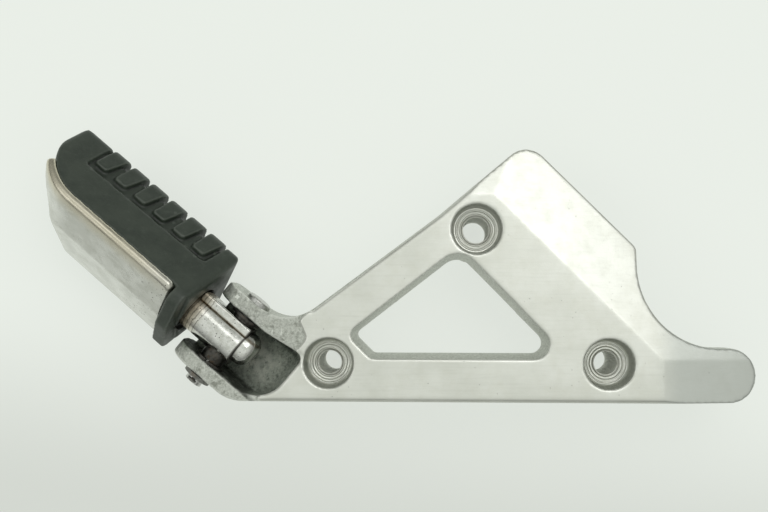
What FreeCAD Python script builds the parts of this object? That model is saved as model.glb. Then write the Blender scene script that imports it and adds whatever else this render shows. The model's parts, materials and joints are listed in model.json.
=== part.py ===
import FreeCAD, Part
import math
import os
import re
import Sketcher
from FreeCAD import Placement, Rotation, Vector

# Folding passenger foot peg of a motorcycle on its cast hanger, folded back as it is stored.
# Frame: the three rear bosses of the hanger stand on z = 0 and +Z points outboard, away from the
# motorcycle. The two lower mounting holes lie on a line along X, and the origin is midway between them.

# ---------------------------------------------------------------- driving dimensions, mm and degrees
DIMENSIONS = {
    # hanger plate
    "face_height": 38.0,
    "plate_thick": 16.0,
    "bottom_edge": 15.0,
    "tail_reach": 111.1,
    "tail_width": 21.0,
    "flank_reach": 65.8,
    "flank_radius": 31.0,
    "crease_sum": 76.0,
    "slope_angle": 14.0,
    "tail_start": 74.4,
    "lobe_start": 65.5,
    # mounting holes
    "hole_spacing": 108.0,
    "top_hole_across": 3.5,
    "top_hole_up": 52.0,
    "bolt_hole_radius": 4.5,
    "top_hole_radius": 5.1,
    "counterbore_radius": 9.9,
    "counterbore_depth": 8.5,
    "counterbore_draft": 0.1,
    "boss_radius": 12.0,
    # hinge
    "pivot_across": -94.2,
    "pivot_up": 9.0,
    "pivot_height": 31.5,
    "hinge_heading": 50.0,
    "fold_droop": 4.0,
    "peg_roll": 46.0,
    "fold_travel": 90.0,
    # clevis ears and socket
    "ear_gap": 23.5,
    "ear_thick": 6.2,
    "ear_reach": 14.5,
    "ear_top": 36.8,
    "ear_bottom": 12.0,
    "socket_depth_back": 28.0,
    "web_reach": 10.5,
    # pivot pin and its washers
    "pin_radius": 3.5,
    "pin_fit": 0.05,
    "pin_head_radius": 5.2,
    "pin_head_thick": 2.2,
    "pin_washer_radius": 5.8,
    "pin_washer_thick": 1.4,
    "split_pin_radius": 0.65,
    "bush_radius": 5.0,
    "side_washer_radius": 6.6,
    "side_washer_thick": 1.0,
    # arm
    "barrel_radius": 7.8,
    "barrel_end": 6.2,
    "barrel_edge": 1.2,
    "nose_radius": 7.0,
    "nose_reach": 12.5,
    "nose_round": 4.6,
    "nose_flat": 4.0,
    "nose_side": 1.5,
    "core_width": 20.0,
    "core_thick": 5.0,
    "core_low": 7.0,
    "core_end": 76.0,
    # rubber
    "rubber_start": 17.4,
    "rubber_end": 102.3,
    "rubber_width": 34.0,
    "rubber_top": 21.0,
    "rubber_bottom": 11.0,
    "side_offset": 1.5,
    "bow_start": 78.0,
    "bow_radius": 25.0,
    "under_fold": 15.5,
    "top_round": 4.5,
    "flank_round": 3.0,
    "near_round": 3.0,
    "lip_start": 18.5,
    "lip_end": 24.2,
    "block_count": 6,
    "block_pitch": 10.5,
    "block_first": 29.4,
    "block_length": 8.2,
    "block_foot": 6.2,
    "block_lean": 1.6,
    "block_rise": 1.0,
    "block_low": 8.2,
    # underside plate and its fixings
    "cover_thick": 3.2,
    "cover_start": 24.6,
    "cover_sweep": 46.0,
    "cover_round": 2.0,
    "stud_radius": 3.0,
    "stud_first": 34.0,
    "stud_spacing": 32.0,
    "stud_side": 4.0,
}

doc = FreeCAD.newDocument("foot_peg")
sheet = doc.addObject("Spreadsheet::Sheet", "Dimensions")
for row, (alias, value) in enumerate(DIMENSIONS.items(), 1):
    sheet.set(f"A{row}", alias)
    sheet.set(f"B{row}", str(value))
    sheet.setAlias(f"B{row}", alias)
doc.recompute()


def size(alias):
    """The value of one driving dimension."""
    return float(sheet.get(alias))


def bind(feature, **expressions):
    """Tie properties of a feature to spreadsheet cells, such as bind(pad, Length="plate_thick")."""
    for name, formula in expressions.items():
        bound = re.sub(r"[a-z_]+", lambda word: "Dimensions." * (word[0] in DIMENSIONS) + word[0], formula)
        feature.setExpression(name, bound)
    return feature


# ---------------------------------------------------------------- frames
hinge_angle = math.radians(size("hinge_heading"))
ACROSS = Vector(math.cos(hinge_angle), math.sin(hinge_angle), 0)
ALONG = Vector(-math.sin(hinge_angle), math.cos(hinge_angle), 0)
PIVOT = Vector(size("pivot_across"), size("pivot_up"), size("pivot_height"))

# In the clevis frame X runs from the pin out past the ears, Y along the pin and Z outboard.
clevis_frame = Placement(PIVOT, Rotation(Vector(0, 0, 1), size("hinge_heading") + 90))
# In the arm frame X runs along the folded arm.
arm_frame = clevis_frame.multiply(Placement(Vector(), Rotation(Vector(0, 1, 0), size("fold_droop"))))
# In the peg frame X runs along the peg, Z points out of the tread and Y out of one side.
peg_frame = arm_frame.multiply(Placement(Vector(), Rotation(Vector(1, 0, 0), size("peg_roll") + 90)))


def clevis_point(along, across):
    """Plan position of a point given by its distances from the pivot."""
    return PIVOT + ALONG * along + ACROSS * across


# ---------------------------------------------------------------- sketching helpers
def rounded_outline(corners):
    """Closed outline through (x, y, radius) corners: straight runs joined by tangent arcs."""
    count = len(corners)
    starts, ends, arcs = [], [], []
    for index in range(count):
        corner = Vector(corners[index][0], corners[index][1], 0)
        radius = corners[index][2]
        before = Vector(corners[index - 1][0], corners[index - 1][1], 0) - corner
        after = Vector(corners[(index + 1) % count][0], corners[(index + 1) % count][1], 0) - corner
        before.normalize()
        after.normalize()
        half = before.getAngle(after) / 2
        reach = radius / math.tan(half)
        first = corner + before * reach
        last = corner + after * reach
        starts.append(first)
        ends.append(last)
        if radius > 0:
            middle_way = (before + after).normalize()
            middle = corner + middle_way * (radius / math.sin(half) - radius)
            arcs.append(Part.Arc(first, middle, last))
        else:
            arcs.append(None)
    geometry = []
    for index in range(count):
        if arcs[index] is not None:
            geometry.append(arcs[index])
        following = starts[(index + 1) % count]
        if (following - ends[index]).Length > 1e-6:
            geometry.append(Part.LineSegment(ends[index], following))
    return geometry


def new_body(name):
    return doc.addObject("PartDesign::Body", name)


def new_sketch(body, name, role, geometry, height=""):
    """Sketch on one of the body's origin planes, lifted by a bound height."""
    sketch = body.newObject("Sketcher::SketchObject", name)
    plane = next(item for item in body.Origin.OriginFeatures if item.Role == role)
    sketch.AttachmentSupport = [(plane, "")]
    sketch.MapMode = "FlatFace"
    if height:
        bind(sketch, **{"AttachmentOffset.Base.z": height})
    sketch.addGeometry(geometry, False)
    doc.recompute()
    return sketch


def circle_sketch(body, name, centres, radius, height):
    """Sketch of equal circles whose radius is bound to a cell."""
    sketch = new_sketch(body, name, "XY_Plane", [], height)
    for centre in centres:
        place = Vector(centre[0], centre[1], 0)
        index = sketch.addGeometry(Part.Circle(place, Vector(0, 0, 1), size(radius)), False)
        constraint = sketch.addConstraint(Sketcher.Constraint("Radius", index, size(radius)))
        bind(sketch, **{f"Constraints[{constraint}]": radius})
    doc.recompute()
    return sketch


def pad(body, name, sketch, length, **more):
    feature = body.newObject("PartDesign::Pad", name)
    feature.Profile = sketch
    bind(feature, Length=length, **more)
    doc.recompute()
    return feature


def pocket(body, name, sketch, length, **more):
    """Pocket that has to remove material."""
    before = body.Shape.Volume
    feature = body.newObject("PartDesign::Pocket", name)
    feature.Profile = sketch
    bind(feature, Length=length, **more)
    doc.recompute()
    if body.Shape.Volume >= before:
        raise RuntimeError(f"pocket {name} cuts nothing")
    return feature


def side_solid(name, geometry, width):
    """Prism whose profile lies in the XZ plane, centred on Y."""
    body = new_body(name)
    sketch = new_sketch(body, name + "_profile", "XZ_Plane", geometry)
    feature = pad(body, name + "_pad", sketch, width)
    feature.SideType = "Symmetric"
    doc.recompute()
    return body


def flat_solid(name, geometry, height, length):
    """Prism on the XY plane, lifted by a bound height."""
    body = new_body(name)
    sketch = new_sketch(body, name + "_outline", "XY_Plane", geometry, height)
    pad(body, name + "_pad", sketch, length)
    return body


# ---------------------------------------------------------------- primitive helpers
def cylinder(name, radius, height, base=Vector(), axis=Vector(0, 0, 1)):
    feature = doc.addObject("Part::Cylinder", name)
    bind(feature, Radius=radius, Height=height)
    feature.Placement = Placement(base, Rotation(Vector(0, 0, 1), axis))
    return feature


def box(name, corner, length, width, height):
    feature = doc.addObject("Part::Box", name)
    bind(feature, Length=length, Width=width, Height=height)
    feature.Placement = Placement(corner, Rotation())
    return feature


def fuse(name, pieces):
    feature = doc.addObject("Part::MultiFuse", name)
    feature.Shapes = pieces
    feature.Refine = True
    doc.recompute()
    return feature


def common(name, pieces):
    feature = doc.addObject("Part::MultiCommon", name)
    feature.Shapes = pieces
    doc.recompute()
    return feature


def cut(name, base, tool):
    """Base less tool, which has to remove material."""
    feature = doc.addObject("Part::Cut", name)
    feature.Base = base
    feature.Tool = tool
    feature.Refine = True
    doc.recompute()
    if feature.Shape.Volume >= base.Shape.Volume - 1e-6:
        raise RuntimeError(f"cut {name} removes nothing")
    return feature


def cut_all(name, base, tools):
    """Base less each tool in turn."""
    for index, tool in enumerate(tools, 1):
        base = cut(f"{name}_cut_{index}", base, tool)
    return base


def round_edges(name, base, radius, chosen):
    """Fillet of the edges that a test picks out."""
    doc.recompute()
    picked = [index for index, edge in enumerate(base.Shape.Edges, 1) if chosen(edge)]
    if not picked:
        raise RuntimeError(f"{name} picks no edge")
    feature = doc.addObject("Part::Fillet", name)
    feature.Base = base
    feature.Edges = [(index, size(radius), size(radius)) for index in picked]
    doc.recompute()
    return feature


sub_parts = []


def finish(feature, label, frame=None):
    """Name a sub-part, put it in its place and keep it for export."""
    if frame is not None:
        feature.Placement = frame.multiply(feature.Placement)
    feature.Label = label
    sub_parts.append(feature)
    return feature


# ---------------------------------------------------------------- hanger
bottom = -size("bottom_edge")
tail_top = bottom + size("tail_width")
tail_round = size("tail_width") / 2 - 0.1
flank = size("flank_reach")
hole_across = size("hole_spacing") / 2
LOWER_HOLES = [(-hole_across, 0), (hole_across, 0)]
TOP_HOLE = (size("top_hole_across"), size("top_hole_up"))
HOLES = LOWER_HOLES + [TOP_HOLE]

# The upper left edge runs from the clevis to the apex and bends a little below the top hole.
UPPER_START = (-65.6, 16.8)
UPPER_BEND = (-11.2, 57.3)
APEX = (23.7, 86.9)

face_outline = [
    (-82, bottom, 1),
    (size("tail_reach"), bottom, tail_round),
    (size("tail_reach"), tail_top, tail_round),
    (flank, tail_top, size("flank_radius")),
    (flank, 45.0, 4),
    (APEX[0], APEX[1], 9),
    (UPPER_BEND[0], UPPER_BEND[1], 40),
    (UPPER_START[0], UPPER_START[1], 2.5),
    (-62.3, 9.7, 2),
    (-66.0, 5.0, 0),
    (-78.0, -8.0, 0),
]
window_outline = [
    (-37.6, 1.6, 4),
    (39.7, 1.6, 6),
    (-3.0, 45.5, 9),
    (-47.3, 11.2, 4),
]

plate = new_body("plate_casting")
plate_sketch = new_sketch(plate, "plate_outline", "XY_Plane", rounded_outline(face_outline),
                          "face_height - plate_thick")
pad(plate, "plate_pad", plate_sketch, "plate_thick")
window_sketch = new_sketch(plate, "window_outline", "XY_Plane", rounded_outline(window_outline),
                           "face_height")
window = pocket(plate, "window_pocket", window_sketch, "plate_thick")
window.TaperAngle = -7
doc.recompute()

# Beyond the crease the outboard face falls away to the edge, the tail and the top lobe.
slope = math.radians(size("slope_angle"))
gradient = math.tan(slope)
crease = size("crease_sum") / 2
face = size("face_height")


def slope_cut(name, point, fall, steepness):
    """Large block whose underside falls away from a point of the face in a plan direction."""
    normal = Vector(fall[0] * steepness, fall[1] * steepness, 1).normalize()
    sideways = Vector(-fall[1], fall[0], 0)
    forward = sideways.cross(normal)
    block = doc.addObject("Part::Box", name)
    block.Length = 240
    block.Width = 240
    block.Height = 30
    turn = Rotation(forward, sideways, normal, "ZXY")
    block.Placement = Placement(point - turn.multVec(Vector(120, 120, 0)), turn)
    return block


diagonal = 1 / math.sqrt(2)
slopes = fuse("slope_blocks", [
    slope_cut("flank_slope", Vector(crease, crease, face), (diagonal, diagonal), gradient),
    slope_cut("tail_slope", Vector(size("tail_start"), 0, face), (1, 0), gradient * diagonal),
    slope_cut("lobe_slope", Vector(0, size("lobe_start"), face), (0, 1), gradient),
])

# Clevis: a block shaped in plan by the ears and in profile by their round tips.
half_clevis = size("ear_gap") / 2 + size("ear_thick")
upper_way = Vector(UPPER_BEND[0] - UPPER_START[0], UPPER_BEND[1] - UPPER_START[1], 0).normalize()


def meet(point, way, other, other_way):
    """Plan point where two lines cross."""
    gap = other - point
    span = way.x * other_way.y - way.y * other_way.x
    return point + way * ((gap.x * other_way.y - gap.y * other_way.x) / span)


upper_corner = meet(Vector(UPPER_START[0], UPPER_START[1], 0), upper_way, clevis_point(0, half_clevis), ALONG)
lower_corner = meet(Vector(0, bottom, 0), Vector(1, 0, 0), clevis_point(0, -half_clevis), ALONG)
upper_tip = clevis_point(size("ear_reach"), half_clevis)
lower_tip = clevis_point(size("ear_reach"), -half_clevis)
inner_upper = Vector(UPPER_START[0], UPPER_START[1], 0) + upper_way * 22
clevis_outline = [
    (inner_upper.x, inner_upper.y, 0),
    (upper_corner.x, upper_corner.y, 18),
    (upper_tip.x, upper_tip.y, 1.5),
    (lower_tip.x, lower_tip.y, 1.5),
    (lower_corner.x, lower_corner.y, 16),
    (-48, bottom, 0),
]
clevis_plan = flat_solid("clevis_plan", rounded_outline(clevis_outline), "ear_bottom", "ear_top - ear_bottom")


def from_pivot(height):
    """Height above the pivot of a height above the mounting plane."""
    return height - size("pivot_height")


underside = size("face_height") - size("plate_thick")
ear_profile = [
    (size("ear_reach"), from_pivot(size("ear_bottom")), 10.5),
    (size("ear_reach"), from_pivot(size("ear_top")), 10.5),
    (-70, from_pivot(size("ear_top")), 0),
    (-70, from_pivot(underside), 0),
    (-38, from_pivot(underside), 6),
    (-27, from_pivot(size("ear_bottom")), 6),
]
ear_side = side_solid("ear_side", rounded_outline(ear_profile), "boss_radius * 8")
ear_side.Placement = clevis_frame
clevis = common("clevis_block", [clevis_plan, ear_side])

# Socket between the ears: the stop web in front, a well under the nose and a slope up to the rim.
droop = math.radians(size("fold_droop"))
half_gap = size("ear_gap") / 2
stop_lean = math.radians(size("fold_travel")) - droop
web_gap = 0.1
web_front_top = -size("barrel_radius") / math.cos(droop) - math.tan(droop) * size("web_reach") - web_gap
sweep = math.hypot(size("barrel_end"), size("barrel_radius"))


def stop_wall(depth):
    """Distance of the stop wall from the pivot, where the flat of the nose lands when the peg is out."""
    flat = size("nose_flat") + 0.08
    return (flat + depth * math.cos(stop_lean)) / math.sin(stop_lean)


stop_top = -math.sqrt((sweep + 0.25) ** 2 - (size("nose_flat") - 0.8) ** 2)
well_depth = -14.6
back = -size("socket_depth_back")
rim = from_pivot(face) + 4
socket_profile = [
    (stop_wall(stop_top), stop_top, 0),
    (stop_wall(well_depth), well_depth, 0.8),
    (-8.0, well_depth, 7),
    (-24.0, -7.5, 7),
    (back, 2.0, 3),
    (back, rim, 0),
    (30, rim, 0),
    (30, -24, 0),
    (size("web_reach"), -24, 0),
    (size("web_reach"), web_front_top, 0.6),
]
socket_side = side_solid("socket_side", rounded_outline(socket_profile), "ear_gap * 2")
socket_side.Placement = clevis_frame
socket_plan = new_body("socket_plan")
socket_sketch = new_sketch(socket_plan, "socket_outline", "XY_Plane", rounded_outline([
    (30, half_gap, 0),
    (30, -half_gap, 0),
    (-9, -half_gap, 6),
    (back, -half_gap - 3.0, 3),
    (back, half_gap, 13),
]))
pad(socket_plan, "socket_plan_pad", socket_sketch, "face_height * 2")
socket_plan.Placement = clevis_frame.multiply(Placement(Vector(0, 0, -size("face_height")), Rotation()))
socket = common("socket_tool", [socket_side, socket_plan])

bosses = []
for index, place in enumerate(HOLES, 1):
    bosses.append(cylinder(f"boss_{index}", "boss_radius", "face_height - plate_thick + 1",
                           Vector(place[0], place[1], 0)))
solid_hanger = fuse("solid_hanger", [cut("sloped_plate", plate, slopes), clevis] + bosses)

# Counterbores from the face, bolt holes right through and the pin's cross hole.
drill = new_body("hole_tools")
drill_sketch = circle_sketch(drill, "bolt_circles", LOWER_HOLES, "bolt_hole_radius", "0 - 1")
pad(drill, "bolt_holes", drill_sketch, "face_height + 2")
top_drill = cylinder("top_hole_tool", "top_hole_radius", "face_height + 2",
                     Vector(TOP_HOLE[0], TOP_HOLE[1], -1))
counterbores = []
for index, place in enumerate(HOLES, 1):
    bore = doc.addObject("Part::Cone", f"counterbore_{index}")
    bind(bore, Radius1="counterbore_radius - counterbore_depth * counterbore_draft",
         Radius2="counterbore_radius + counterbore_draft", Height="counterbore_depth + 1")
    bore.Placement = Placement(Vector(place[0], place[1], face - size("counterbore_depth")), Rotation())
    counterbores.append(bore)
seat = cylinder("seat_step", "bolt_hole_radius + 2", "1",
                Vector(hole_across, 0, face - size("counterbore_depth") - 0.8))
pin_hole = cylinder("pin_hole_tool", "pin_radius + 0.02", "ear_gap * 2",
                    PIVOT - ACROSS * size("ear_gap"), ACROSS)

# Cored channels in the back of the rails, as (x, y, x, y, width).
CHANNELS = [
    (-34, -7, 34, -7, 8),
    (-41, 25, -15, 45, 6.5),
    (19, 42, 44, 17, 11),
    (33, 61, 53, 41, 13),
    (73, -5, 97, -5, 10),
]
channels = []
for index, (x_start, y_start, x_stop, y_stop, width) in enumerate(CHANNELS, 1):
    start = Vector(x_start, y_start, 0)
    run = Vector(x_stop, y_stop, 0) - start
    half = width / 2
    reach = run.Length + half
    channel = flat_solid(f"channel_{index}", rounded_outline([
        (-half, -half, half * 0.98),
        (reach, -half, half * 0.98),
        (reach, half, half * 0.98),
        (-half, half, half * 0.98),
    ]), "face_height - plate_thick - 1", "plate_thick - 5")
    channel.Placement = Placement(start, Rotation(Vector(1, 0, 0), run))
    channels.append(channel)

hanger = cut_all("hanger", solid_hanger,
                 [socket] + counterbores + [seat, drill, top_drill, pin_hole] + channels)
finish(hanger, "bracket")

# ---------------------------------------------------------------- pivot pin, fixed in the ears
pin_stand = 3.8
pin_shaft = cylinder("pin_shaft", "pin_radius", f"{2 * half_clevis + 0.1 + pin_stand}",
                     Vector(0, -half_clevis - 0.1, 0), Vector(0, 1, 0))
pin_head = cylinder("pin_head_blank", "pin_head_radius", "pin_head_thick",
                    Vector(0, -half_clevis - size("pin_head_thick"), 0), Vector(0, 1, 0))
pin_round = round_edges("pin_head", pin_head, "side_washer_thick",
                        lambda edge: abs(edge.CenterOfMass.y + half_clevis + size("pin_head_thick")) < 0.01)
split_place = half_clevis + size("pin_washer_thick") + 1.05
split_hole = cylinder("split_hole", "split_pin_radius + 0.05", "pin_radius * 4",
                      Vector(0, split_place, -size("pin_radius") * 2))
pin = cut("pivot_pin_cut", fuse("pivot_pin_solid", [pin_shaft, pin_round]), split_hole)
finish(pin, "pivot_pin", clevis_frame)


def ring(name, outer, inner, thick, base):
    """Flat ring about the pin's axis."""
    along_pin = Vector(0, 1, 0)
    hole_base = base - along_pin * size("pin_radius") * 10
    return cut(name, cylinder(name + "_disc", outer, thick, base, along_pin),
               cylinder(name + "_hole", inner, "pin_radius * 20", hole_base, along_pin))


finish(ring("pin_washer_ring", "pin_washer_radius", "pin_radius + pin_fit", "pin_washer_thick",
            Vector(0, half_clevis + 0.05, 0)), "pin_washer", clevis_frame)

# Split pin: an eye on top, a double leg through the pin and two ends bent apart.
wire = size("split_pin_radius")
leg_bottom = -size("pin_radius") - 2.4
bend_reach = 3.6
eye_radius = 1.5
eye_height = size("pin_radius") + eye_radius + 0.5
eye = doc.addObject("Part::Torus", "split_eye")
eye.Radius1 = eye_radius
bind(eye, Radius2="split_pin_radius / 1.6")
eye.Placement = Placement(Vector(0, split_place, eye_height), Rotation(Vector(1, 0, 0), 90))
leg = cylinder("split_leg", "split_pin_radius", f"{eye_height - eye_radius - leg_bottom}",
               Vector(0, split_place, leg_bottom))
split_ends = []
for side in (-1, 1):
    way = Vector(side, 0, -0.5).normalize()
    split_ends.append(cylinder(f"split_end_{side + 2}", "split_pin_radius / 1.25", f"{bend_reach}",
                               Vector(0, split_place, leg_bottom + wire * 0.7), way))
finish(fuse("split_pin_solid", [eye, leg] + split_ends), "split_pin", clevis_frame)

# ---------------------------------------------------------------- bush and washers, turning with the peg
bush_half = half_gap - size("side_washer_thick") - 0.15
finish(ring("bush_ring", "bush_radius", "pin_radius + pin_fit", f"{2 * bush_half}", Vector(0, -bush_half, 0)),
       "pivot_bush", arm_frame)
finish(ring("thrust_ring", "side_washer_radius", "pin_radius + pin_fit", "side_washer_thick",
            Vector(0, -bush_half - 0.05 - size("side_washer_thick"), 0)), "thrust_washer", arm_frame)
spring_ring = ring("spring_ring", "side_washer_radius", "pin_radius + pin_fit", "side_washer_thick",
                   Vector(0, bush_half + 0.05, 0))
spring_gap = box("spring_gap", Vector(-0.6, 0, 0), "1.2", "ear_gap", "side_washer_radius * 2")
finish(cut("spring_washer_cut", spring_ring, spring_gap), "spring_washer", arm_frame)

# ---------------------------------------------------------------- arm: barrel, nose and core bar
X_AXIS = Vector(1, 0, 0)
barrel_stop = 27.5
barrel = cylinder("barrel_blank", "barrel_radius", f"barrel_end + {barrel_stop}",
                  Vector(-size("barrel_end"), 0, 0), X_AXIS)
nose_blank = cylinder("nose_blank", "nose_radius", "nose_reach",
                      Vector(-size("nose_reach"), -size("nose_side"), 0), X_AXIS)
nose = round_edges("nose_round", nose_blank, "nose_round",
                   lambda edge: abs(edge.CenterOfMass.x + size("nose_reach")) < 0.01)
nose_shave = box("nose_shave", Vector(-size("nose_reach") - 1, -10, -size("nose_flat") - 10),
                 "nose_reach - barrel_end + 1", "20", "10")
rib_blank = box("rib_blank", Vector(-size("barrel_end"), -9.3, -3.0),
                "barrel_end + rubber_start - 0.2", "3.5", "9.4")
rib = round_edges("seam_rib", rib_blank, "barrel_edge",
                  lambda edge: edge.Length > 12 and edge.CenterOfMass.y < -9 and edge.CenterOfMass.z > 6)
core = box("core_bar", Vector(24.0, -size("core_width") / 2, -size("core_low")),
           "core_end - 24", "core_width", "core_thick")
core.Placement = Placement(Vector(), Rotation(X_AXIS, size("peg_roll") + 90)).multiply(core.Placement)
arm_blank = fuse("arm_blank", [barrel, cut("nose_cut", nose, nose_shave), rib, core])
bush_hole = cylinder("bush_hole", "bush_radius", "ear_gap", Vector(0, -half_gap, 0), Vector(0, 1, 0))
stud_holes = []
STUDS = [size("stud_first") + size("stud_spacing") * index for index in range(2)]
to_peg = Placement(Vector(), Rotation(X_AXIS, size("peg_roll") + 90))
for index, place in enumerate(STUDS, 1):
    hole = cylinder(f"stud_hole_{index}", "stud_radius + 0.2", "core_thick * 6",
                    Vector(place, size("stud_side"), -20))
    hole.Placement = to_peg.multiply(hole.Placement)
    stud_holes.append(hole)
arm = cut("peg_arm_cut", arm_blank, fuse("arm_holes", [bush_hole] + stud_holes))
finish(arm, "peg_arm", arm_frame)

# ---------------------------------------------------------------- rubber
half_rubber = size("rubber_width") / 2
low = -size("rubber_bottom")
top = size("rubber_top")
start = size("rubber_start")
end = size("rubber_end")
bow_start = size("bow_start")
bow = size("bow_radius")
bow_angle = math.asin((end - bow_start) / bow)
under_lean = math.tan(math.radians(size("under_fold")))
fold_line = -1.0


def bow_point(radius, angle):
    """Point on the turned up tip, by its angle from the straight underside."""
    return Vector(bow_start + radius * math.sin(angle), low + bow - radius * math.cos(angle), 0)


def bowed_profile(begin, depth, angle, closing):
    """Side outline with a straight underside and a turned up tip, closed through further points."""
    corner = Vector(begin, low - depth, 0)
    points = [bow_point(bow + depth, angle)] + [Vector(x, z, 0) for x, z in closing] + [corner]
    outline = [
        Part.LineSegment(corner, bow_point(bow + depth, 0)),
        Part.Arc(bow_point(bow + depth, 0), bow_point(bow + depth, angle / 2), points[0]),
    ]
    return outline + [Part.LineSegment(a, b) for a, b in zip(points, points[1:])]


def section_solid(name, outline, begin, length):
    """Prism along the peg from an outline given across the peg and up from the pivot."""
    body = new_body(name)
    sketch = new_sketch(body, name + "_section", "YZ_Plane", rounded_outline(outline))
    pad(body, name + "_pad", sketch, length)
    body.Placement = Placement(Vector(begin, 0, 0), Rotation())
    return body


def under_section(name, depth, reach, crown_rounds):
    """Prism above the underside, which is flat at one side of a fold and leans up at the other."""
    flat_round, lean_round = crown_rounds
    return section_solid(name, [
        (-reach, low - depth + (reach + fold_line) * under_lean, 0),
        (fold_line, low - depth, 0),
        (reach, low - depth, 0),
        (reach, top, flat_round),
        (-reach, top, lean_round),
    ], start - 6, "rubber_end - rubber_start + 12")


def tip_plan(name, near, tip):
    """Prism on plan with a rounded near end, whose tip runs back from one side of the peg to the other."""
    near_corners = [(near, tip[place][1], size("near_round")) for place in (0, -1)]
    return flat_solid(name, rounded_outline([near_corners[0]] + tip + [near_corners[1]]),
                      "0 - rubber_bottom * 2", "rubber_bottom * 2 + rubber_top * 2")


rubber_side = side_solid("rubber_side", bowed_profile(start, 0, bow_angle, [(end, top), (start, top)]),
                         "rubber_width")
rubber_crown = side_solid("rubber_crown", rounded_outline([
    (start, low - 20, 0),
    (end, low - 20, 0),
    (end, top, size("top_round")),
    (start, top, size("near_round")),
]), "rubber_width * 2")
rounded_rubber = common("rounded_rubber", [
    rubber_side,
    rubber_crown,
    under_section("rubber_section", 0, half_rubber, (size("flank_round"), size("top_round"))),
    tip_plan("rubber_plan", start, [
        (78.5, -half_rubber, 4),
        (88.5, 1.0, 14),
        (end + 5.7, half_rubber, 3),
    ]),
])

# Tread blocks run over the top and down both sides, in a strip that lies a little deeper.
rise = size("block_rise")
block_low = size("block_low")
first = size("block_first")
count = int(size("block_count"))
side_sink = 1.6
top_sink = 1.8
strip_start = 23.9
strip_end = 89.6
far_reach = half_rubber + 3


def tread_plan(name):
    """Prism on plan that keeps the tread clear of the slanted tip."""
    return flat_solid(name, rounded_outline([
        (strip_start, -far_reach, 0),
        (strip_end - 15.5, -far_reach, 0),
        (strip_end, far_reach, 0),
        (strip_start, far_reach, 0),
    ]), "0 - rubber_bottom", "rubber_bottom + rubber_top * 2")


strip_side = side_solid("strip_side", rounded_outline([
    (strip_start + 1.8, 6.3, 2),
    (strip_end, 5.2, 3),
    (strip_end - 1.6, top + 4, 0),
    (strip_start, top + 4, 0),
]), "rubber_width * 2")
strip_blank = common("strip_blank", [strip_side, tread_plan("strip_plan")])
strip_core = section_solid("strip_core", [
    (-half_rubber + side_sink, low - 5, 0),
    (half_rubber - side_sink, low - 5, 0),
    (half_rubber - side_sink, top - top_sink, 5),
    (-half_rubber + side_sink, top - top_sink, 5),
], start, "rubber_end - rubber_start")
sunk_rubber = cut("sunk_rubber", rounded_rubber, cut("strip_tool", strip_blank, strip_core))
block_side = half_rubber + 0.6
block_row = []
for index in range(count):
    middle = first + size("block_pitch") * index
    foot = middle + size("block_lean")
    block_row.append(side_solid(f"block_{index + 1}", rounded_outline([
        (foot - size("block_foot") / 2, block_low, 1.2),
        (foot + size("block_foot") / 2, block_low, 1.2),
        (middle + size("block_length") / 2, top + rise + 1, 0),
        (middle - size("block_length") / 2, top + rise + 1, 0),
    ]), "rubber_width * 2"))
block_section = section_solid("block_section", [
    (-block_side, block_low - 1, 0),
    (block_side, block_low - 1, 0),
    (block_side, top + rise, 4.5),
    (-block_side, top + rise, 6),
], start, "rubber_end - rubber_start")
blocks = common("trimmed_blocks", [fuse("block_row", block_row), block_section, tread_plan("block_plan")])

# The lip hangs below the underside beside the hinge and hides the plate's near edge.
lip = section_solid("rubber_lip", [
    (-18.3, -5.0, 0),
    (-18.3, -13.2, 4.5),
    (fold_line, -17.2, 6),
    (16.7, -15.6, 5),
    (16.7, -5.0, 0),
], size("lip_start"), "lip_end - lip_start")

# Cavities for the barrel, the core bar and the fixings.
section_shift = Vector(0, -size("side_offset"), 0)
arm_cavity = cylinder("arm_cavity", "barrel_radius + 0.1", f"{barrel_stop} - rubber_start + 1.4",
                      Vector(start - 1.2, 0, 0) + section_shift, X_AXIS)
mouth = cylinder("rubber_mouth", "barrel_radius + 2.6", "4.2",
                 Vector(start - 1.2, 0, 0) + section_shift, X_AXIS)
core_corner = Vector(23.9, -size("core_width") / 2 - 0.1, -size("core_low") - 0.1)
core_cavity = box("core_cavity", core_corner + section_shift,
                  "core_end - 23.8", "core_width + 0.2", "core_thick + 0.2")
stack_top = -size("core_low") + size("core_thick") + 9.0
fixing_cavities = []
for index, place in enumerate(STUDS, 1):
    spot = Vector(place, size("stud_side"), 0) + section_shift
    fixing_cavities.append(cylinder(f"fixing_cavity_{index}", "stud_radius + 4.2", f"{stack_top} + core_low",
                                    spot - Vector(0, 0, size("core_low"))))
    fixing_cavities.append(cylinder(f"stud_cavity_{index}", "stud_radius + 0.3", "rubber_bottom + 2",
                                    spot + Vector(0, 0, low - 1)))
rubber = cut_all("rubber", fuse("rubber_solid", [sunk_rubber, blocks, lip]),
                 [arm_cavity, mouth, core_cavity] + fixing_cavities)
rubber_frame = peg_frame.multiply(Placement(Vector(0, size("side_offset"), 0), Rotation()))
finish(rubber, "peg_rubber", rubber_frame)

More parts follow.
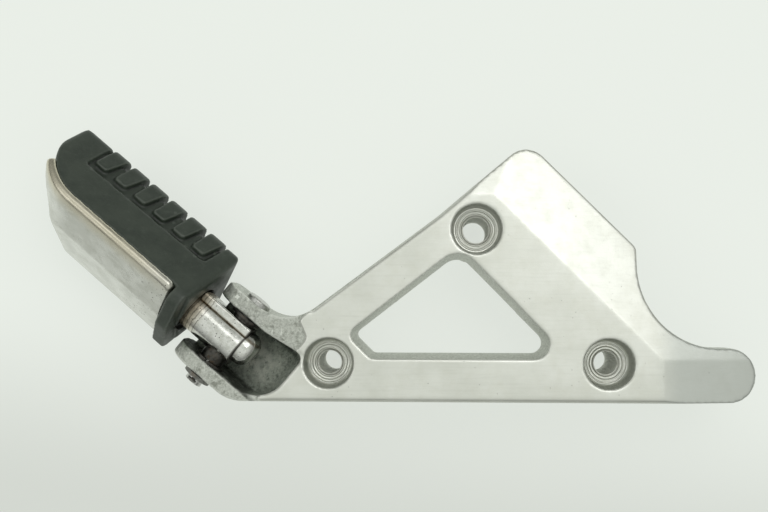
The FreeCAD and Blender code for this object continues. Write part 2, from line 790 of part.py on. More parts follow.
# ---------------------------------------------------------------- polished plate under the rubber
cover = size("cover_thick")
cover_angle = math.radians(size("cover_sweep"))
cover_begin = size("cover_start")
half_cover = half_rubber + 0.3
skin_gap = 0.05
bow_centre = (bow_start, low + bow)
cover_outer = common("cover_outer", [
    side_solid("cover_outer_side", bowed_profile(cover_begin, cover, cover_angle,
                                                 [bow_centre, (cover_begin, low + bow)]), "rubber_width * 2"),
    under_section("cover_outer_section", cover, half_cover, (0, 0)),
    tip_plan("cover_plan", cover_begin, [
        (77.0, -half_cover, 3),
        (88.0, 5.0, 14),
        (end + 0.2, half_cover, 1.2),
    ]),
])
cover_inner = common("cover_inner", [
    side_solid("cover_inner_side", bowed_profile(start - 5, skin_gap, cover_angle + 0.3,
                                                 [bow_centre, (start - 5, low + bow)]), "rubber_width * 3"),
    under_section("cover_inner_section", skin_gap, half_cover + 4, (0, 0)),
])
cover_sheet = cut("cover_sheet", cover_outer, cover_inner)


def is_outer_rim(edge):
    """Long edges of the outer skin at either side of the plate."""
    middle = edge.valueAt((edge.FirstParameter + edge.LastParameter) / 2)
    if abs(abs(middle.y) - half_cover) > 0.01 or edge.Length < 8:
        return False
    flat = low + max(0, fold_line - middle.y) * under_lean
    depth = flat - middle.z
    if middle.x > bow_start:
        depth = math.hypot(middle.x - bow_start, middle.z - low - bow) - bow
    return depth > cover - 0.1


cover_plate = round_edges("underside_cover", cover_sheet, "cover_round", is_outer_rim)
finish(cover_plate, "underside_plate", rubber_frame)

# ---------------------------------------------------------------- studs, washers and nuts inside the rubber
seat_height = -size("core_low") + size("core_thick")
washer_thick = 1.6
spring_thick = 1.6
nut_thick = 5.0


def stacked(name, make):
    """The same piece on each stud, as one node of separate solids."""
    pieces = [make(f"{name}_{index}", place) for index, place in enumerate(STUDS, 1)]
    group = doc.addObject("Part::Compound", name)
    group.Links = pieces
    doc.recompute()
    return group


def make_stud(name, place):
    length = seat_height + washer_thick + spring_thick + nut_thick + 0.6 - low
    return cylinder(name, "stud_radius", f"{length}",
                    Vector(place, size("stud_side"), low))


def disc_ring(name, place, height, thick, outer):
    spot = Vector(place, size("stud_side"), height)
    return cut(name, cylinder(name + "_disc", outer, f"{thick}", spot),
               cylinder(name + "_hole", "stud_radius + 0.1", f"{thick + 2}", spot - Vector(0, 0, 1)))


def make_washer(name, place):
    return disc_ring(name, place, seat_height + 0.02, washer_thick, "stud_radius * 2")


def make_spring(name, place):
    whole = disc_ring(name + "_ring", place, seat_height + washer_thick + 0.04, spring_thick,
                      "stud_radius * 1.8")
    gap = box(name + "_gap", Vector(place, size("stud_side") - 0.5, seat_height),
              "stud_radius * 3", "1.0", "core_thick * 2")
    return cut(name, whole, gap)


def make_nut(name, place):
    prism = doc.addObject("Part::Prism", name + "_hex")
    prism.Polygon = 6
    prism.Circumradius = 5.7
    prism.Height = nut_thick
    height = seat_height + washer_thick + spring_thick + 0.06
    spot = Vector(place, size("stud_side"), height)
    prism.Placement = Placement(spot, Rotation())
    return cut(name, prism, cylinder(name + "_hole", "stud_radius + 0.02", f"{nut_thick + 2}",
                                     spot - Vector(0, 0, 1)))


finish(stacked("studs", make_stud), "plate_studs", peg_frame)
finish(stacked("washers", make_washer), "stud_washers", peg_frame)
finish(stacked("springs", make_spring), "stud_spring_washers", peg_frame)
finish(stacked("nuts", make_nut), "stud_nuts", peg_frame)

# ---------------------------------------------------------------- checks and export
doc.recompute()
for item in doc.Objects:
    if "Invalid" in item.State or "Error" in item.State:
        raise RuntimeError(f"{item.Name} failed: {item.State}")
os.makedirs("parts", exist_ok=True)
for item in sub_parts:
    if item.Shape.isNull() or not item.Shape.isValid():
        raise RuntimeError(f"{item.Label} has no valid shape")
    item.Shape.exportStep(f"parts/{item.Label}.step")
    limits = item.Shape.BoundBox
    print(f"{item.Label}: {len(item.Shape.Solids)} solids, {item.Shape.Volume:.0f} mm3, "
          f"x {limits.XMin:.1f} to {limits.XMax:.1f}, y {limits.YMin:.1f} to {limits.YMax:.1f}, "
          f"z {limits.ZMin:.1f} to {limits.ZMax:.1f}")
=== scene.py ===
import json
import math

import bpy
from mathutils import Matrix, Vector


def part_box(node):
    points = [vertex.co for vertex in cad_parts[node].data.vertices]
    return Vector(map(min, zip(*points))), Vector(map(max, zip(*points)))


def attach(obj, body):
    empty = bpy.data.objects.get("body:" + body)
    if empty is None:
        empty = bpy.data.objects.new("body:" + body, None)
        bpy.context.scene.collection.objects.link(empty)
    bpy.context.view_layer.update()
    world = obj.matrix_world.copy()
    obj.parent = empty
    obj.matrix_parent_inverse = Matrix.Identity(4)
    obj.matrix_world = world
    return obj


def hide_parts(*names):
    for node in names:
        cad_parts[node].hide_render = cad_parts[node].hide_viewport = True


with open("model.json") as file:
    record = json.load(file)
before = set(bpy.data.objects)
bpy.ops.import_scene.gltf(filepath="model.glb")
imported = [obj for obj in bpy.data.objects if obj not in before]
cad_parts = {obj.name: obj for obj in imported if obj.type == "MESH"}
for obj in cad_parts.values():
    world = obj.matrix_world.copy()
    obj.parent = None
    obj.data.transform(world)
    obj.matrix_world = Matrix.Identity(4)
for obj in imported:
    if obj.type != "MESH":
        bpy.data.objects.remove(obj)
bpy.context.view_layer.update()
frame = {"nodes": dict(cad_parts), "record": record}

MM = 0.001

# ---------------------------------------------------------------- axes and sizes shared with the CAD
BEHAVIOUR = frame["record"]["behaviour"]
SLOTS = {entry["node"]: entry["material_slot"] for entry in frame["record"]["subparts"]}
BODY = {node: body for body, nodes in BEHAVIOUR["bodies"].items() for node in nodes}

hinge = next(joint for joint in BEHAVIOUR["joints"] if joint["name"] == "peg_fold")
PIVOT = Vector(hinge["pos_m"])
ACROSS = Vector(hinge["axis"]).normalized()
UP = Vector((0, 0, 1))
ALONG = UP.cross(ACROSS).normalized()
DROOP = math.radians(4)
PEG_ROLL = math.radians(136)
PEG_LENGTH = ALONG * math.cos(DROOP) - UP * math.sin(DROOP)
ARM_UP = ALONG * math.sin(DROOP) + UP * math.cos(DROOP)
PEG_SIDE = -ACROSS * math.cos(PEG_ROLL) + ARM_UP * math.sin(PEG_ROLL)
PEG_TREAD = ACROSS * math.sin(PEG_ROLL) + ARM_UP * math.cos(PEG_ROLL)

mounts = {mount["name"]: mount for mount in frame["record"]["mounts"]}
bolts = mounts["frame_bolts"]["dims"]
top_hole = mounts["top_bolt_hole"]
HALF_SPACING = bolts["spacing_x_mm"] / 2
HOLES = [(-HALF_SPACING, 0, bolts["hole_r_mm"]), (HALF_SPACING, 0, bolts["hole_r_mm"]),
         (top_hole["pos_m"][0] / MM, top_hole["pos_m"][1] / MM, top_hole["dims"]["r_mm"])]
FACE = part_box("bracket")[1].z / MM
EAR_DROP = 1.2
EARS = FACE - EAR_DROP


# ---------------------------------------------------------------- material nodes
class Material:
    """A node material. Lengths in it are millimetres in the object's own space."""

    def __init__(self, name):
        self.material = bpy.data.materials.new(name)
        self.material.use_nodes = True
        self.tree = self.material.node_tree
        self.tree.nodes.clear()
        self.output = self.tree.nodes.new("ShaderNodeOutputMaterial")
        self.shader = self.tree.nodes.new("ShaderNodeBsdfPrincipled")
        self.tree.links.new(self.shader.outputs[0], self.output.inputs[0])
        place = self.tree.nodes.new("ShaderNodeTexCoord").outputs["Object"]
        self.place = self.vector("SCALE", place, scale=1 / MM)

    def put(self, socket, value):
        """Link a socket to a node's output, or set its constant value."""
        if isinstance(value, bpy.types.NodeSocket):
            self.tree.links.new(value, socket)
        else:
            socket.default_value = value

    def vector(self, operation, first, second=None, scale=None):
        node = self.tree.nodes.new("ShaderNodeVectorMath")
        node.operation = operation
        self.put(node.inputs[0], first)
        if second is not None:
            self.put(node.inputs[1], second)
        if scale is not None:
            node.inputs["Scale"].default_value = scale
        return node.outputs["Value" if operation in ("DOT_PRODUCT", "LENGTH") else "Vector"]

    def math(self, operation, first, second=0.0):
        node = self.tree.nodes.new("ShaderNodeMath")
        node.operation = operation
        self.put(node.inputs[0], first)
        self.put(node.inputs[1], second)
        return node.outputs[0]

    def times(self, first, *others):
        """Product of two or more values."""
        for other in others:
            first = self.math("MULTIPLY", first, other)
        return first

    def plus(self, first, second):
        return self.math("ADD", first, second)

    def either(self, first, second):
        """The larger of two masks."""
        return self.math("MAXIMUM", first, second)

    def measure(self, origin, direction):
        """Distance in millimetres along a direction from an origin given in metres."""
        offset = self.vector("SUBTRACT", self.place, tuple(origin / MM))
        return self.vector("DOT_PRODUCT", offset, tuple(direction))

    def ramp(self, value, low, high, start=0.0, stop=1.0):
        """Smooth change from start to stop as the value goes from low to high."""
        node = self.tree.nodes.new("ShaderNodeMapRange")
        node.interpolation_type = "SMOOTHSTEP"
        for index, item in enumerate((value, low, high, start, stop)):
            self.put(node.inputs[index], item)
        return node.outputs[0]

    def fade(self, value, low, high, strength=1.0):
        """Strength below low, falling to 0 above high."""
        return self.ramp(value, low, high, strength, 0.0)

    def band(self, value, centre, inner, outer, strength=1.0):
        """Strength within inner of a centre value, falling to 0 beyond outer."""
        return self.fade(self.math("ABSOLUTE", self.math("SUBTRACT", value, centre)), inner, outer, strength)

    def noise(self, size, detail=4.0, rough=0.55, stretch=None):
        """Cloudy value about 0.5 whose features are about size millimetres."""
        where = self.place if stretch is None else self.vector("MULTIPLY", self.place, stretch)
        node = self.tree.nodes.new("ShaderNodeTexNoise")
        self.put(node.inputs["Vector"], where)
        node.inputs["Scale"].default_value = 1 / size
        node.inputs["Detail"].default_value = detail
        node.inputs["Roughness"].default_value = rough
        return node.outputs[0]

    def wander(self, value, noise, reach):
        """A value that strays either way with the noise, within about half the reach."""
        return self.plus(value, self.times(self.math("SUBTRACT", noise, 0.5), reach))

    def waves(self, value, pitch):
        """Sine of a length, one wave to each pitch."""
        return self.math("SINE", self.times(value, 2 * math.pi / pitch))

    def specks(self, size, radius):
        """1 inside scattered specks, 0 outside."""
        node = self.tree.nodes.new("ShaderNodeTexVoronoi")
        self.put(node.inputs["Vector"], self.place)
        node.inputs["Scale"].default_value = 1 / size
        return self.fade(node.outputs["Distance"], radius, radius * 1.6)

    def blend(self, amount, first, second):
        """The first colour where amount is 0, and the second where it is 1."""
        node = self.tree.nodes.new("ShaderNodeMix")
        node.data_type = "RGBA"
        self.put(node.inputs[0], amount)
        for index, item in ((6, first), (7, second)):
            self.put(node.inputs[index], item if isinstance(item, bpy.types.NodeSocket) else (*item, 1.0))
        return node.outputs[2]

    def normal(self, axis):
        """Share of the surface normal along an axis of the object's own space."""
        geometry = self.tree.nodes.new("ShaderNodeTexCoord").outputs["Normal"]
        return self.vector("DOT_PRODUCT", geometry, tuple(axis))

    def pointiness(self, low, high):
        """1 on convex edges of a dense mesh, and 0 in its grooves."""
        node = self.tree.nodes.new("ShaderNodeNewGeometry")
        return self.ramp(node.outputs["Pointiness"], low, high)

    def finish(self, colour, roughness, metallic=0.0, bumps=()):
        """Link up the shader. Bumps are (height, depth in millimetres) pairs."""
        self.put(self.shader.inputs["Base Color"], colour)
        self.put(self.shader.inputs["Roughness"], roughness)
        self.put(self.shader.inputs["Metallic"], metallic)
        link = None
        for height, depth in bumps:
            node = self.tree.nodes.new("ShaderNodeBump")
            node.inputs["Distance"].default_value = depth * MM
            self.put(node.inputs["Height"], height)
            if link is not None:
                self.tree.links.new(link, node.inputs["Normal"])
            link = node.outputs[0]
        if link is not None:
            self.tree.links.new(link, self.shader.inputs["Normal"])
        return self.material


def machined_face(m, cloud, blotch, brushed):
    """Colour of the milled outboard face, duller towards the tail."""
    polish = m.blend(m.ramp(cloud, 0.3, 0.7), (0.735, 0.74, 0.685), (0.80, 0.805, 0.755))
    polish = m.blend(m.times(blotch, 0.2), polish, (0.62, 0.62, 0.53))
    polish = m.blend(m.times(m.ramp(brushed, 0.45, 0.7), 0.16), polish, (0.56, 0.565, 0.51))
    tail = m.ramp(m.vector("DOT_PRODUCT", m.place, (1, 0, 0)), 70.0, 82.0)
    return m.blend(m.times(tail, 0.55), polish, (0.50, 0.53, 0.51))


def rough_casting(m, crust, along):
    """Colour of the casting's raw skin, sooty and scuffed near the hinge, with a painted highlight on its
    convex edges that partly stands for edge wear.
    """
    near_hinge = m.ramp(along, -27.0, -20.0)
    skin = m.blend(m.ramp(crust, 0.34, 0.6), (0.36, 0.375, 0.33), (0.62, 0.64, 0.585))
    soot = m.times(m.ramp(m.noise(2.4, 6.0, 0.72), 0.5, 0.66), near_hinge, 0.75)
    skin = m.blend(soot, skin, (0.13, 0.14, 0.105))
    scuff = m.ramp(m.noise(1.1, 5.0, 0.7, (0.6, 0.12, 0.6)), 0.56, 0.68)
    skin = m.blend(m.times(scuff, near_hinge), skin, (0.84, 0.86, 0.8))
    # Paler convex edges: a painted highlight, partly edge wear.
    return m.blend(m.pointiness(0.51, 0.55), skin, (0.86, 0.88, 0.82))


def socket_casting(m, along, across):
    """Colour of the socket: dark grey, worn pale by the nose, with black dirt in it."""
    well = m.blend(m.ramp(m.noise(1.5, 6.0, 0.72), 0.36, 0.66), (0.20, 0.225, 0.19), (0.46, 0.495, 0.43))
    worn = m.times(m.fade(across, 3.0, 10.5), m.ramp(along, -26.0, -16.0, 0.25, 1.0))
    worn = m.times(worn, m.ramp(m.noise(3.5, 5.0), 0.3, 0.55), 0.85)
    well = m.blend(worn, well, (0.70, 0.72, 0.64))
    dirt = m.times(m.ramp(m.noise(0.7, 5.0, 0.75), 0.56, 0.66), m.ramp(m.noise(5.0), 0.45, 0.6))
    return m.blend(dirt, well, (0.03, 0.032, 0.026))


def from_nearest_bore(m):
    """Plan distance from the wall of the nearest bolt hole, negative inside it."""
    nearest = None
    for x, y, bore in HOLES:
        offset = m.vector("MULTIPLY", m.vector("SUBTRACT", m.place, (x, y, 0)), (1, 1, 0))
        reach = m.math("SUBTRACT", m.vector("LENGTH", offset), bore)
        nearest = reach if nearest is None else m.math("MINIMUM", nearest, reach)
    return nearest


def cast_aluminium():
    """Machined outboard face, rough cast ears, sides and socket, and turned counterbore floors, with painted
    shade beside the barrel, at the bolt-hole edges and on the counterbore walls, and a painted highlight
    ring on each counterbore floor.
    """
    m = Material("cast_aluminium")
    wall = m.fade(m.math("ABSOLUTE", m.normal(UP)), 0.25, 0.75)
    height = m.measure(Vector((0, 0, 0)), UP)
    along = m.measure(PIVOT, ALONG)
    across = m.math("ABSOLUTE", m.measure(PIVOT, ACROSS))
    cloud = m.noise(14.0, 5.0)
    blotch = m.ramp(m.noise(6.0, 6.0, 0.65), 0.42, 0.68)
    grain = m.noise(0.5, 4.0, 0.7)
    crust = m.noise(0.85, 6.0, 0.75)
    brushed = m.noise(0.9, 4.0, 0.7, (0.05, 1.0, 1.0))

    below_ears = m.fade(height, EARS - 2.2, EARS - 0.8)
    socket = m.times(m.fade(across, 12.6, 14.2), below_ears, m.ramp(along, -33.0, -29.5))
    ears = m.times(m.ramp(along, -26.0, -24.5), m.fade(height, EARS + 0.35, EARS + 0.75))
    raw = m.either(ears, wall)
    milled = machined_face(m, cloud, blotch, brushed)
    colour = m.blend(m.times(raw, 0.85), milled, rough_casting(m, crust, along))
    colour = m.blend(socket, colour, socket_casting(m, along, across))
    cheek = m.times(m.ramp(across, 9.8, 11.6), m.fade(across, 11.9, 12.6), m.ramp(along, -32.0, -18.0))
    # Painted shade in the gaps between the barrel and the ears, broken up by noise like grease.
    gap_shade_and_grease = m.times(cheek, m.ramp(m.noise(2.6, 5.0, 0.7), 0.3, 0.55, 0.45, 0.9))
    colour = m.blend(gap_shade_and_grease, colour, (0.03, 0.034, 0.026))

    nearest = from_nearest_bore(m)
    floor = m.times(m.fade(nearest, 5.6, 6.2), m.fade(height, FACE - 3.0, FACE - 1.0))
    turning = m.times(m.waves(m.plus(nearest, m.times(m.noise(3.0, 3.0), 0.5)), 1.05), floor)
    # Painted shade: a dark ring at the edge of each bolt hole.
    bore_edge_shade = m.times(m.band(nearest, 0.45, 0.12, 0.5), floor, 0.7)
    # Painted highlight: a bright ring near the outer edge of each counterbore floor.
    ring_highlight = m.times(m.band(nearest, 4.0, 0.1, 0.4), floor, 0.8)
    bore = m.fade(nearest, 0.0, 0.3)
    colour = m.blend(m.times(floor, 0.12), colour, (0.52, 0.52, 0.46))
    colour = m.blend(m.times(m.ramp(turning, 0.0, 0.9), 0.3), colour, (0.36, 0.36, 0.31))
    colour = m.blend(bore_edge_shade, colour, (0.14, 0.14, 0.115))
    colour = m.blend(ring_highlight, colour, (0.93, 0.94, 0.9))
    # Painted shade on the counterbore walls.
    colour = m.blend(m.times(floor, wall, 0.5), colour, (0.30, 0.31, 0.27))
    colour = m.blend(bore, colour, (0.72, 0.73, 0.67))
    pits = m.times(m.specks(2.6, 0.05), m.ramp(m.noise(11.0), 0.5, 0.62))
    colour = m.blend(m.times(pits, 0.55), colour, (0.3, 0.3, 0.26))

    rough = m.plus(m.ramp(cloud, 0.3, 0.7, 0.28, 0.34), m.times(raw, 0.17))
    rough = m.plus(rough, m.times(socket, 0.2))
    rough = m.plus(rough, m.times(m.plus(blotch, brushed), 0.04))
    matt = m.either(bore, m.times(m.either(socket, raw), 0.5))
    metallic = m.math("SUBTRACT", 1.0, m.times(matt, 0.9))
    pitted = m.times(crust, m.either(socket, m.times(raw, 0.7)))
    return m.finish(colour, rough, metallic, [
        (grain, 0.025), (pitted, 0.5), (turning, 0.09), (m.times(pits, -1.0), 0.1)])


def chrome():
    """Bright plating, stained and ringed near the rubber, with a dirty nose and painted shade where the nose
    meets the barrel.
    """
    m = Material("chrome")
    length = m.measure(PIVOT, PEG_LENGTH)
    mottle = m.noise(2.2, 5.0, 0.65)
    strayed = m.wander(length, mottle, 2.0)
    stain = m.times(m.ramp(strayed, 10.0, 17.5), 0.75)
    rings = m.times(m.ramp(m.waves(strayed, 1.7), 0.55, 1.0), m.ramp(length, 10.5, 13.0), 0.7)
    nose_dirt = m.times(m.fade(length, -9.5, -6.5), m.fade(m.measure(PIVOT, ARM_UP), -3.0, 3.5))
    nose_dirt = m.times(nose_dirt, m.ramp(mottle, 0.36, 0.56))
    # Painted shade: a dark ring where the nose meets the barrel's end.
    neck_shade = m.band(length, -6.2, 0.2, 0.8, 0.9)
    nose_dirt_and_neck_shade = m.either(nose_dirt, neck_shade)
    pits = m.times(m.specks(1.1, 0.13), m.ramp(m.noise(4.0), 0.48, 0.6))
    seam = m.band(m.measure(PIVOT, ACROSS), 5.6, 0.15, 0.9)
    rust = m.times(seam, m.ramp(mottle, 0.3, 0.6, 0.45, 0.9))
    colour = m.blend(m.ramp(mottle, 0.35, 0.65), (0.64, 0.64, 0.6), (0.8, 0.8, 0.77))
    colour = m.blend(rust, colour, (0.20, 0.16, 0.10))
    colour = m.blend(stain, colour, (0.42, 0.33, 0.20))
    colour = m.blend(rings, colour, (0.08, 0.07, 0.055))
    colour = m.blend(m.either(nose_dirt_and_neck_shade, pits), colour, (0.07, 0.065, 0.055))
    rough = m.plus(m.ramp(mottle, 0.3, 0.7, 0.1, 0.2), m.times(m.either(nose_dirt_and_neck_shade, stain), 0.3))
    return m.finish(colour, rough, 1.0, [(m.noise(1.4, 3.0), 0.02), (m.times(pits, -1.0), 0.12)])


def tread_rubber():
    """Grey-green moulded rubber, satin, paler on its worn tread edge, with a painted highlight on its convex
    edges and painted shade in its grooves and in the mouth around the arm.
    """
    m = Material("tread_rubber")
    m.shader.inputs["Specular IOR Level"].default_value = 0.55
    tread = m.measure(PIVOT, PEG_TREAD)
    length = m.measure(PIVOT, PEG_LENGTH)
    cloud = m.noise(9.0, 5.0, 0.6)
    grain = m.noise(0.45, 4.0, 0.7)
    worn = m.times(m.ramp(tread, 17.5, 22.0), m.ramp(cloud, 0.3, 0.6, 0.4, 1.0), 0.6)
    dust = m.ramp(m.noise(2.4, 6.0, 0.7), 0.5, 0.75, 0.0, 0.4)
    aside = m.math("POWER", m.measure(PIVOT, PEG_SIDE), 2.0)
    radius = m.math("SQRT", m.plus(aside, m.math("POWER", tread, 2.0)))
    # Painted shade in the mouth where the arm enters the rubber.
    mouth_shade = m.times(m.fade(radius, 9.8, 12.4), m.fade(length, 22.0, 25.0))
    # Painted shade in the grooves between the tread blocks.
    groove_shade = m.math("SUBTRACT", 1.0, m.pointiness(0.465, 0.495))
    colour = m.blend(m.ramp(cloud, 0.3, 0.7), (0.022, 0.031, 0.022), (0.036, 0.047, 0.034))
    colour = m.blend(worn, colour, (0.066, 0.079, 0.066))
    colour = m.blend(dust, colour, (0.061, 0.075, 0.058))
    colour = m.blend(mouth_shade, colour, (0.006, 0.007, 0.005))
    # Painted highlight on the convex edges.
    colour = m.blend(m.times(m.pointiness(0.505, 0.53), 0.4), colour, (0.11, 0.125, 0.105))
    colour = m.blend(groove_shade, colour, (0.008, 0.010, 0.008))
    rough = m.ramp(cloud, 0.3, 0.7, 0.36, 0.5)
    return m.finish(colour, rough, 0.0, [(grain, 0.05), (m.noise(4.0, 3.0), 0.12)])


def drawn_out(squeeze):
    """Stretch that draws noise out along the peg. A squeeze of 1 would make it endless."""
    return tuple(1.0 - squeeze * abs(value) for value in PEG_LENGTH)


def polished_steel():
    """Worn polish with a warm tarnish band beside the rubber, rubbed streaks, and pits near the hinge."""
    m = Material("polished_steel")
    length = m.measure(PIVOT, PEG_LENGTH)
    side = m.wander(m.measure(PIVOT, PEG_SIDE), m.noise(3.0, 5.0, 0.6), 3.0)
    tarnish = m.times(m.ramp(side, 10.5, 17.5), m.ramp(length, 26.0, 45.0, 0.3, 0.75))
    haze = m.ramp(m.noise(12.0, 4.0), 0.35, 0.65)
    streak = m.noise(2.2, 4.0, 0.65, drawn_out(0.93))
    pits = m.times(m.specks(1.5, 0.13), m.ramp(length, 46.0, 30.0), m.ramp(m.noise(5.0), 0.46, 0.58))
    colour = m.blend(haze, (0.60, 0.60, 0.565), (0.74, 0.74, 0.705))
    colour = m.blend(m.times(m.ramp(streak, 0.45, 0.65), 0.4), colour, (0.52, 0.52, 0.47))
    colour = m.blend(tarnish, colour, (0.60, 0.545, 0.415))
    colour = m.blend(pits, colour, (0.16, 0.15, 0.13))
    rough = m.plus(m.ramp(haze, 0.0, 1.0, 0.15, 0.24), m.times(tarnish, 0.12))
    rough = m.plus(rough, m.ramp(streak, 0.4, 0.65, 0.0, 0.06))
    lines = m.noise(0.5, 3.0, 0.6, drawn_out(0.94))
    return m.finish(colour, rough, 1.0, [
        (lines, 0.006), (m.noise(7.0, 3.0), 0.05), (m.times(pits, -1.0), 0.1)])


def plain_steel(name, dark, light, rough_low, rough_high, rust):
    """Turned steel with stains in its colour and gloss."""
    m = Material(name)
    mottle = m.noise(1.6, 5.0, 0.65)
    colour = m.blend(m.ramp(mottle, 0.3, 0.7), dark, light)
    stain = m.times(m.ramp(m.noise(3.1, 5.0, 0.7), 0.52, 0.7), rust)
    colour = m.blend(stain, colour, (0.13, 0.085, 0.05))
    return m.finish(colour, m.ramp(mottle, 0.3, 0.7, rough_low, rough_high), 1.0,
                    [(m.noise(0.3, 3.0), 0.02), (m.noise(2.0, 3.0), 0.04)])


MATERIALS = {
    "cast_aluminium": cast_aluminium(),
    "chrome": chrome(),
    "tread_rubber": tread_rubber(),
    "polished_steel": polished_steel(),
    "pin_steel": plain_steel("pin_steel", (0.42, 0.42, 0.40), (0.62, 0.62, 0.60), 0.22, 0.38, 0.3),
    "zinc_steel": plain_steel("zinc_steel", (0.13, 0.13, 0.12), (0.30, 0.30, 0.28), 0.35, 0.55, 0.5),
    "dark_steel": plain_steel("dark_steel", (0.035, 0.033, 0.03), (0.11, 0.105, 0.095), 0.3, 0.5, 0.5),
}

for node, piece in frame["nodes"].items():
    piece.data.materials.clear()
    piece.data.materials.append(MATERIALS[SLOTS[node]])


# ---------------------------------------------------------------- pieces with softened edges
def baked(piece, name):
    """Mesh of a piece with its modifiers applied, which are then removed."""
    evaluated = piece.evaluated_get(bpy.context.evaluated_depsgraph_get())
    mesh = bpy.data.meshes.new_from_object(evaluated)
    mesh.name = name
    piece.modifiers.clear()
    piece.data = mesh
    return mesh


def softened(node, name, voxel, rounds, shape=None):
    """Copy of a CAD node whose edges are rounded by an even remesh and smoothing."""
    piece = bpy.data.objects.new(name, frame["nodes"][node].data.copy())
    bpy.context.scene.collection.objects.link(piece)
    remesh = piece.modifiers.new("remesh", "REMESH")
    remesh.mode = "VOXEL"
    remesh.voxel_size = voxel * MM
    mesh = baked(piece, name + "_blank")
    if shape is not None:
        for vertex in mesh.vertices:
            vertex.co.z = min(vertex.co.z, shape(vertex.co / MM) * MM)
    smooth = piece.modifiers.new("smooth", "SMOOTH")
    smooth.factor = 0.5
    smooth.iterations = rounds
    mesh = baked(piece, name)
    mesh.materials.clear()
    mesh.materials.append(MATERIALS[SLOTS[node]])
    for polygon in mesh.polygons:
        polygon.use_smooth = True
    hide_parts(node)
    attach(piece, BODY[node])


# Plan lines of the hanger in millimetres: the bottom edge and the upper left edge, which bends once.
BOTTOM = -15.0
UPPER_EDGE = [Vector((-65.6, 16.8)), Vector((-11.2, 57.3)), Vector((23.7, 86.9))]
RIM = 2.2

# The socket in plan, measured from the pivot into the hanger and across it.
SOCKET_END = 28.0
SOCKET_CORNER = 15.0
SOCKET_RADIUS = 13.0
SOCKET_SHIFT = 1.25
SOCKET_SIDE = 14.75
SOCKET_LAND = 0.6
RIM_START = 20.0
UPPER_START = -60.0


def inside_line(place, start, end):
    """Plan distance of a point to the right of a line."""
    way = (end - start).normalized()
    return (place.x - start.x) * way.y - (place.y - start.y) * way.x


def from_socket(point):
    """Plan distance from the socket's mouth, growing towards the ears so that they stay unrounded."""
    offset = point * MM - PIVOT
    inward, aside = -offset.dot(ALONG) / MM, -offset.dot(ACROSS) / MM
    if aside > -SOCKET_SHIFT:
        reach = math.hypot(max(0.0, inward - SOCKET_CORNER), aside + SOCKET_SHIFT) - SOCKET_RADIUS
    else:
        reach = max(inward - SOCKET_END, -SOCKET_SIDE - aside)
    return max(0.0, reach) + SOCKET_LAND + max(0.0, RIM_START - inward)


def rounded_rim(point):
    """Height that the rounded edges of the outboard face allow at a point of the hanger."""
    if point.z < FACE - RIM:
        return FACE
    upper = max(inside_line(point, start, end) for start, end in zip(UPPER_EDGE, UPPER_EDGE[1:]))
    upper += max(0.0, UPPER_START - point.x) * 0.5
    edge = min(max(min(point.y - BOTTOM, upper, from_socket(point)), 0.0), RIM)
    return FACE - RIM + math.sqrt(RIM ** 2 - (RIM - edge) ** 2)


softened("bracket", "cast_hanger", 0.55, 6, rounded_rim)
softened("peg_rubber", "tread_pad", 0.45, 17)
softened("underside_plate", "polished_cover", 0.4, 7)

# ---------------------------------------------------------------- floor and sky
HALF_FLOOR = 4.0
BELOW_PARTS = 0.0002
SHADE_WAY = Vector((0.12, 0.99, 0))

floor_mesh = bpy.data.meshes.new("floor")
corners = [(-HALF_FLOOR, -HALF_FLOOR, 0), (HALF_FLOOR, -HALF_FLOOR, 0),
           (HALF_FLOOR, HALF_FLOOR, 0), (-HALF_FLOOR, HALF_FLOOR, 0)]
floor_mesh.from_pydata(corners, [], [(0, 1, 2, 3)])
floor = bpy.data.objects.new("floor", floor_mesh)
floor.location.z = -BELOW_PARTS
bpy.context.scene.collection.objects.link(floor)


def light_table():
    """Pale matt paper that glows a little, less at its near edge."""
    m = Material("light_table")
    tone = m.noise(60.0, 2.0)
    rise = m.ramp(m.measure(Vector((0, 0, 0)), SHADE_WAY), -85.0, 10.0)
    glow = m.blend(rise, (0.458, 0.478, 0.444), (0.615, 0.645, 0.603))
    m.put(m.shader.inputs["Emission Color"], glow)
    m.shader.inputs["Emission Strength"].default_value = 1.0
    colour = m.blend(tone, (0.25, 0.257, 0.247), (0.265, 0.272, 0.262))
    return m.finish(colour, m.ramp(tone, 0.3, 0.7, 0.85, 0.95))


floor_mesh.materials.append(light_table())


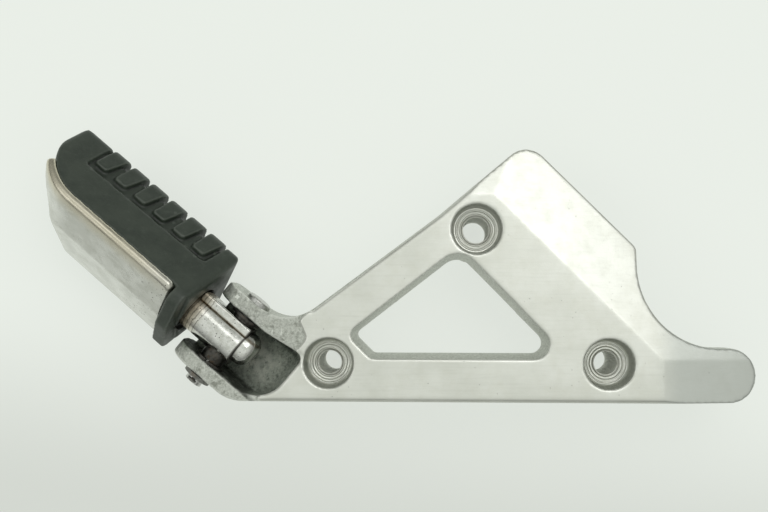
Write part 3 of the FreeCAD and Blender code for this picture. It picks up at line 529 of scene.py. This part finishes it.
def sky_dome():
    """Sky that is brighter overhead than at the horizon."""
    world = bpy.data.worlds.new("studio")
    world.use_nodes = True
    nodes, links = world.node_tree.nodes, world.node_tree.links
    height = nodes.new("ShaderNodeSeparateXYZ")
    links.new(nodes.new("ShaderNodeTexCoord").outputs["Generated"], height.inputs[0])
    dome = nodes.new("ShaderNodeMapRange")
    dome.interpolation_type = "SMOOTHSTEP"
    for name, value in (("From Min", 0.0), ("From Max", 0.95), ("To Min", 0.22), ("To Max", 0.78)):
        dome.inputs[name].default_value = value
    links.new(height.outputs["Z"], dome.inputs["Value"])
    nodes["Background"].inputs["Color"].default_value = (0.965, 1.0, 0.945, 1)
    links.new(dome.outputs["Result"], nodes["Background"].inputs["Strength"])
    return world


bpy.context.scene.world = sky_dome()

# ---------------------------------------------------------------- lights and camera
LIGHT_AIM = Vector((-0.03, 0.035, 0.02))


def soft_light(name, way, distance, size, power):
    """Square light that shines on the middle of the object from a direction."""
    data = bpy.data.lights.new(name, "AREA")
    data.shape = "SQUARE"
    data.size = size
    data.energy = power
    light = bpy.data.objects.new(name, data)
    direction = Vector(way).normalized()
    light.location = LIGHT_AIM + direction * distance
    light.rotation_mode = "QUATERNION"
    light.rotation_quaternion = direction.to_track_quat("Z", "Y")
    bpy.context.scene.collection.objects.link(light)


soft_light("key_light", (0.40, 0.42, 1.0), 0.9, 0.5, 0.98)
soft_light("top_light", (-0.1, 0.75, 1.0), 1.0, 0.4, 0.3)
soft_light("side_light", (-0.9, 0.1, 0.7), 0.9, 0.4, 0.4)

CAMERA_PLACE = Vector((-16.21, 23.91, 423.29))
CAMERA_LOOK = Vector((-0.04202, 0.04546, -0.99808))
CAMERA_TOP = Vector((0, 0.99896, 0.04550))

camera_data = bpy.data.cameras.new("camera")
camera_data.lens = 46.69
camera_data.sensor_width = 36
camera_data.clip_start = 0.01
camera = bpy.data.objects.new("camera", camera_data)
bpy.context.scene.collection.objects.link(camera)
back = -CAMERA_LOOK.normalized()
side = CAMERA_TOP.cross(back).normalized()
turn = Matrix((side, back.cross(side), back)).transposed().to_4x4()
camera.matrix_world = Matrix.Translation(CAMERA_PLACE * MM) @ turn
bpy.context.scene.camera = camera
bpy.context.scene.view_settings.view_transform = "Standard"
